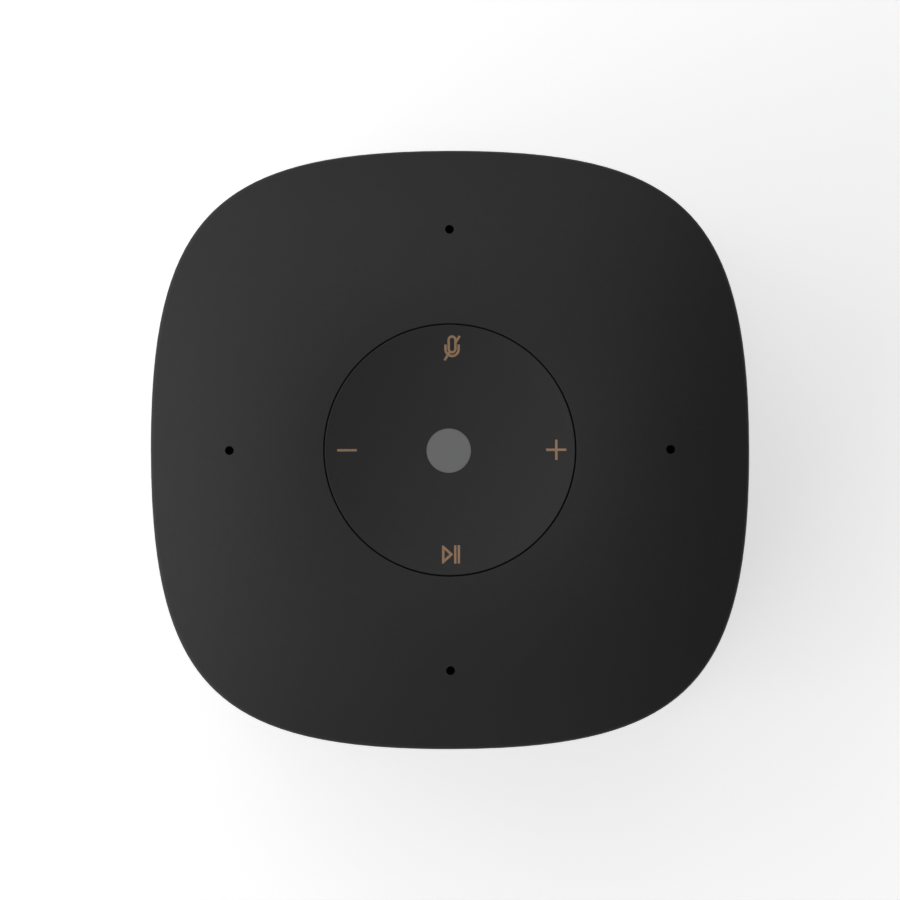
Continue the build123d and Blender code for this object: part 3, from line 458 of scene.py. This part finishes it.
def hole_cell():
    """Angles of a hole's corners, and the triangles from the unit cell's rim to the hole.

    A triangle's corners count the rim's six points first, then the hole's.
    """
    rim = [(-1, -1), (0, -1), (1, -1), (1, 1), (0, 1), (-1, 1)]
    turns = [math.atan2(y * ROW_PITCH, x * HOLE_PITCH) for x, y in rim]
    hole = [2 * math.pi * (k + 0.5) / HOLE_SIDES - math.pi for k in range(HOLE_SIDES)]
    faces = []
    i = j = 0
    while i < len(rim) or j < HOLE_SIDES:
        rim_next = turns[(i + 1) % len(rim)] + (2 * math.pi if i + 1 >= len(rim) else 0)
        hole_next = hole[(j + 1) % HOLE_SIDES] + (2 * math.pi if j + 1 >= HOLE_SIDES else 0)
        rim_here = i % len(rim)
        hole_here = len(rim) + j % HOLE_SIDES
        if j >= HOLE_SIDES or (i < len(rim) and rim_next <= hole_next):
            faces.append((rim_here, (i + 1) % len(rim), hole_here))
            i += 1
        else:
            faces.append((rim_here, len(rim) + (j + 1) % HOLE_SIDES, hole_here))
            j += 1
    return hole, faces


def hole_radius(height):
    """Radius of the holes at this share of the pattern's height."""
    fade = min(max((height - FADE_START) / (1 - FADE_START), 0.0), 1.0)
    return HOLE_RADIUS_LOW + (HOLE_RADIUS_TOP - HOLE_RADIUS_LOW) * fade


def skin_points(skin, outer_length, columns, lines, levels, hole_angles):
    """One skin's points: the grid's rings from the bottom up, then the corners of its holes."""
    ring = 2 * columns
    rows = len(lines) - 1
    grid = [skin.points(np.arange(ring) / ring, level) for level in levels]
    holes = []
    for row in range(rows):
        radius = hole_radius((row + 0.5) / rows)
        centres = (2 * np.arange(columns) + row % 2 + 1) / ring
        middle = lines[row] + ROW_PITCH / 2
        for angle in hole_angles:
            shift = radius * math.cos(angle) / outer_length
            holes.append(skin.points(centres + shift, middle + radius * math.sin(angle)))
    return np.concatenate(grid + holes)


def skin_faces(columns, rows, hole_base, cell_faces):
    """The outer skin's faces: the plain bands at both ends, then the cells with their holes."""
    ring = 2 * columns
    faces = []
    for level in (0, rows + 1):
        lower, upper = level * ring, (level + 1) * ring
        for place in range(ring):
            after = (place + 1) % ring
            faces.append((lower + place, lower + after, upper + after, upper + place))
    for row in range(rows):
        below, above = (row + 1) * ring, (row + 2) * ring
        for column in range(columns):
            spots = [(2 * column + row % 2 + step) % ring for step in range(3)]
            corners = [below + spot for spot in spots]
            corners += [above + spot for spot in reversed(spots)]
            corners += [
                hole_base + (row * HOLE_SIDES + side) * columns + column
                for side in range(HOLE_SIDES)
            ]
            for face in cell_faces:
                faces.append(tuple(corners[index] for index in face))
    return faces


def wall_faces(columns, rows, hole_base, inner):
    """Faces between the skins: round every hole, and at the sleeve's two ends."""
    ring = 2 * columns
    faces = []
    for row in range(rows):
        for side in range(HOLE_SIDES):
            start = hole_base + (row * HOLE_SIDES + side) * columns
            end = hole_base + (row * HOLE_SIDES + (side + 1) % HOLE_SIDES) * columns
            for here, there in zip(range(start, start + columns), range(end, end + columns)):
                faces.append((here, there, inner + there, inner + here))
    top = (rows + 2) * ring
    for place in range(ring):
        after = (place + 1) % ring
        faces.append((after, place, inner + place, inner + after))
        faces.append((top + place, top + after, inner + top + after, inner + top + place))
    return faces


def perforated_sleeve():
    """Closed mesh of the sleeve's wall with its holes."""
    half = SLEEVE_HIGH.x
    outside, inside = Outline(half), Outline(half - SLEEVE_WALL)
    columns = round(outside.length / HOLE_PITCH)
    low, high = SLEEVE_LOW.z + MARGIN_LOW, SLEEVE_HIGH.z - MARGIN_TOP
    rows = int((high - low) / ROW_PITCH)
    lines = low + ROW_PITCH * np.arange(rows + 1)
    levels = np.concatenate([[SLEEVE_LOW.z], lines, [SLEEVE_HIGH.z]])
    hole_angles, cell_faces = hole_cell()
    points = [
        skin_points(skin, outside.length, columns, lines, levels, hole_angles)
        for skin in (outside, inside)
    ]
    inner = len(points[0])
    hole_base = len(levels) * 2 * columns
    outer_faces = skin_faces(columns, rows, hole_base, cell_faces)
    inner_faces = [tuple(inner + corner for corner in reversed(face)) for face in outer_faces]
    faces = outer_faces + inner_faces + wall_faces(columns, rows, hole_base, inner)
    mesh = bpy.data.meshes.new("grille_sleeve")
    mesh.from_pydata(np.concatenate(points).tolist(), [], faces)
    mesh.validate()
    return mesh


def shade(piece, angle=32.0):
    """Smooth shading that keeps edges sharper than the angle."""
    piece.data.shade_smooth()
    piece.data.set_sharp_from_angle(angle=math.radians(angle))


grille = placed("grille_sleeve", perforated_sleeve())
dress(grille, "sleeve_plastic")
shade(grille)
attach(grille, "chassis")
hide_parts("sleeve")

# ---- Grille cloth ----
# A thin dust cloth behind the perforations, between the base's lip and the cover's lip.

CLOTH_LOW = SLEEVE_LOW.z + 4.3 * MM
CLOTH_HIGH = SLEEVE_HIGH.z - 5.9 * MM
CLOTH_GAP = 0.05 * MM
CLOTH_SHEET = 0.3 * MM
CLOTH_COLUMNS = 240
CLOTH_BLACK = (0.008, 0.008, 0.008)
THREAD_PITCH = 0.35 * MM


def dust_cloth():
    """Closed thin tube that follows the sleeve's inside."""
    half = SLEEVE_HIGH.x - SLEEVE_WALL - CLOTH_GAP
    shares = np.arange(CLOTH_COLUMNS) / CLOTH_COLUMNS
    inside = half - CLOTH_SHEET
    loops = [(half, CLOTH_LOW), (half, CLOTH_HIGH), (inside, CLOTH_HIGH), (inside, CLOTH_LOW)]
    vertices = np.concatenate([Outline(reach).points(shares, level) for reach, level in loops])
    faces = []
    for loop in range(len(loops)):
        for place in range(CLOTH_COLUMNS):
            after = (place + 1) % CLOTH_COLUMNS
            here, there = loop * CLOTH_COLUMNS, (loop + 1) % len(loops) * CLOTH_COLUMNS
            faces.append((here + place, here + after, there + after, there + place))
    mesh = bpy.data.meshes.new("grille_cloth")
    mesh.from_pydata(vertices.tolist(), [], faces)
    return mesh


cloth = placed("grille_cloth", dust_cloth())
cloth.data.materials.append(knitted("grille_cloth", CLOTH_BLACK, THREAD_PITCH).material)
shade(cloth)
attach(cloth, "chassis")

# ---- Studio ----

COVER_LOW, COVER_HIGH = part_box("top_cover")
FRAME_OVER_WIDTH = 1.5037  # width of the picture over the object's width
LENS = 600.0  # in millimetres, as is the sensor
SENSOR = 36.0
CAMERA_ROLL = -0.14  # degrees
RIM_DROP = 6.8 * MM  # from the top of the cover down to the rim, its widest part
CLIP_START, CLIP_END = 0.01, 20.0
LIGHT_DISTANCE = 2.0
LIGHT_SIZE = 1.6
LIGHTS = {  # azimuth and elevation in degrees, power in watts; azimuth 0 is at +X and 90 at +Y
    "low_left": (172, 25, 9.2),
    "front_left": (215, 38, 13.0),
    "rear_left": (130, 38, 4.9),
    "high_rear": (100, 65, 9.7),
}
FLOOR_CENTRE = 0.2  # radius of the floor's innermost ring, in metres
FLOOR_FLAT = 3.7  # radius where it starts to curve up
FLOOR_COVE = 0.3  # radius of that curve
COVE_STEPS = 8
FLOOR_SPOKES = 64
FLOOR_PALE = (0.88, 0.88, 0.88)
FLOOR_GLOW = 0.62
WORLD_GLOW = 0.006
WHITE = (1.0, 1.0, 1.0, 1.0)


def make_camera():
    """Looks straight down on the top, with the rear at the top of the picture."""
    data = bpy.data.cameras.new("camera")
    data.lens = LENS
    data.sensor_width = SENSOR
    data.clip_start = CLIP_START
    data.clip_end = CLIP_END
    camera = placed("camera", data)
    width = (COVER_HIGH.x - COVER_LOW.x) * FRAME_OVER_WIDTH
    widest_level = COVER_HIGH.z - RIM_DROP
    camera.location = (0, 0, widest_level + width * LENS / SENSOR)
    camera.rotation_euler.z = math.radians(CAMERA_ROLL)
    bpy.context.scene.camera = camera


def area_light(name, azimuth, elevation, power):
    """Square soft box that faces the middle of the object."""
    data = bpy.data.lights.new(name, "AREA")
    data.shape = "SQUARE"
    data.size = LIGHT_SIZE
    data.energy = power
    light = placed(name, data)
    around, up = math.radians(azimuth), math.radians(elevation)
    reach = math.cos(up)
    direction = Vector((math.cos(around) * reach, math.sin(around) * reach, math.sin(up)))
    target = Vector((0, 0, COVER_HIGH.z / 2))
    light.location = target + direction * LIGHT_DISTANCE
    light.rotation_euler = direction.to_track_quat("Z", "Y").to_euler()


def floor_mesh():
    """A disc that curves up into a low wall far from the object."""
    profile = [(FLOOR_CENTRE, 0.0), (FLOOR_FLAT, 0.0)]
    for step in range(1, COVE_STEPS + 1):
        turn = math.pi / 2 * step / COVE_STEPS
        out, rise = FLOOR_COVE * math.sin(turn), FLOOR_COVE * (1 - math.cos(turn))
        profile.append((FLOOR_FLAT + out, rise))
    spokes = FLOOR_SPOKES
    corners = [(0.0, 0.0, 0.0)]
    for radius, level in profile:
        for spoke in range(spokes):
            angle = 2 * math.pi * spoke / spokes
            corners.append((radius * math.cos(angle), radius * math.sin(angle), level))
    faces = [(0, 1 + spoke, 1 + (spoke + 1) % spokes) for spoke in range(spokes)]
    for row in range(len(profile) - 1):
        for spoke in range(spokes):
            here = 1 + row * spokes + spoke
            beside = 1 + row * spokes + (spoke + 1) % spokes
            faces.append((here, here + spokes, beside + spokes, beside))
    mesh = bpy.data.meshes.new("floor")
    mesh.from_pydata(corners, [], faces)
    mesh.shade_smooth()
    return mesh


def make_floor():
    """Pale plain floor, faintly lit from within so that it stays pale."""
    floor = placed("floor", floor_mesh())
    surface = Surface("floor", 0.7)
    surface.mottle(FLOOR_PALE, 0.3, 0.01)
    surface.set(Emission_Color=WHITE, Emission_Strength=FLOOR_GLOW)
    floor.data.materials.append(surface.material)


def make_world():
    world = bpy.data.worlds.new("world")
    bpy.context.scene.world = world
    world.use_nodes = True
    background = world.node_tree.nodes["Background"]
    background.inputs["Color"].default_value = WHITE
    background.inputs["Strength"].default_value = WORLD_GLOW


bpy.context.scene.view_settings.view_transform = "Standard"
make_floor()
make_world()
for light_name, light_setting in LIGHTS.items():
    area_light(light_name, *light_setting)
make_camera()
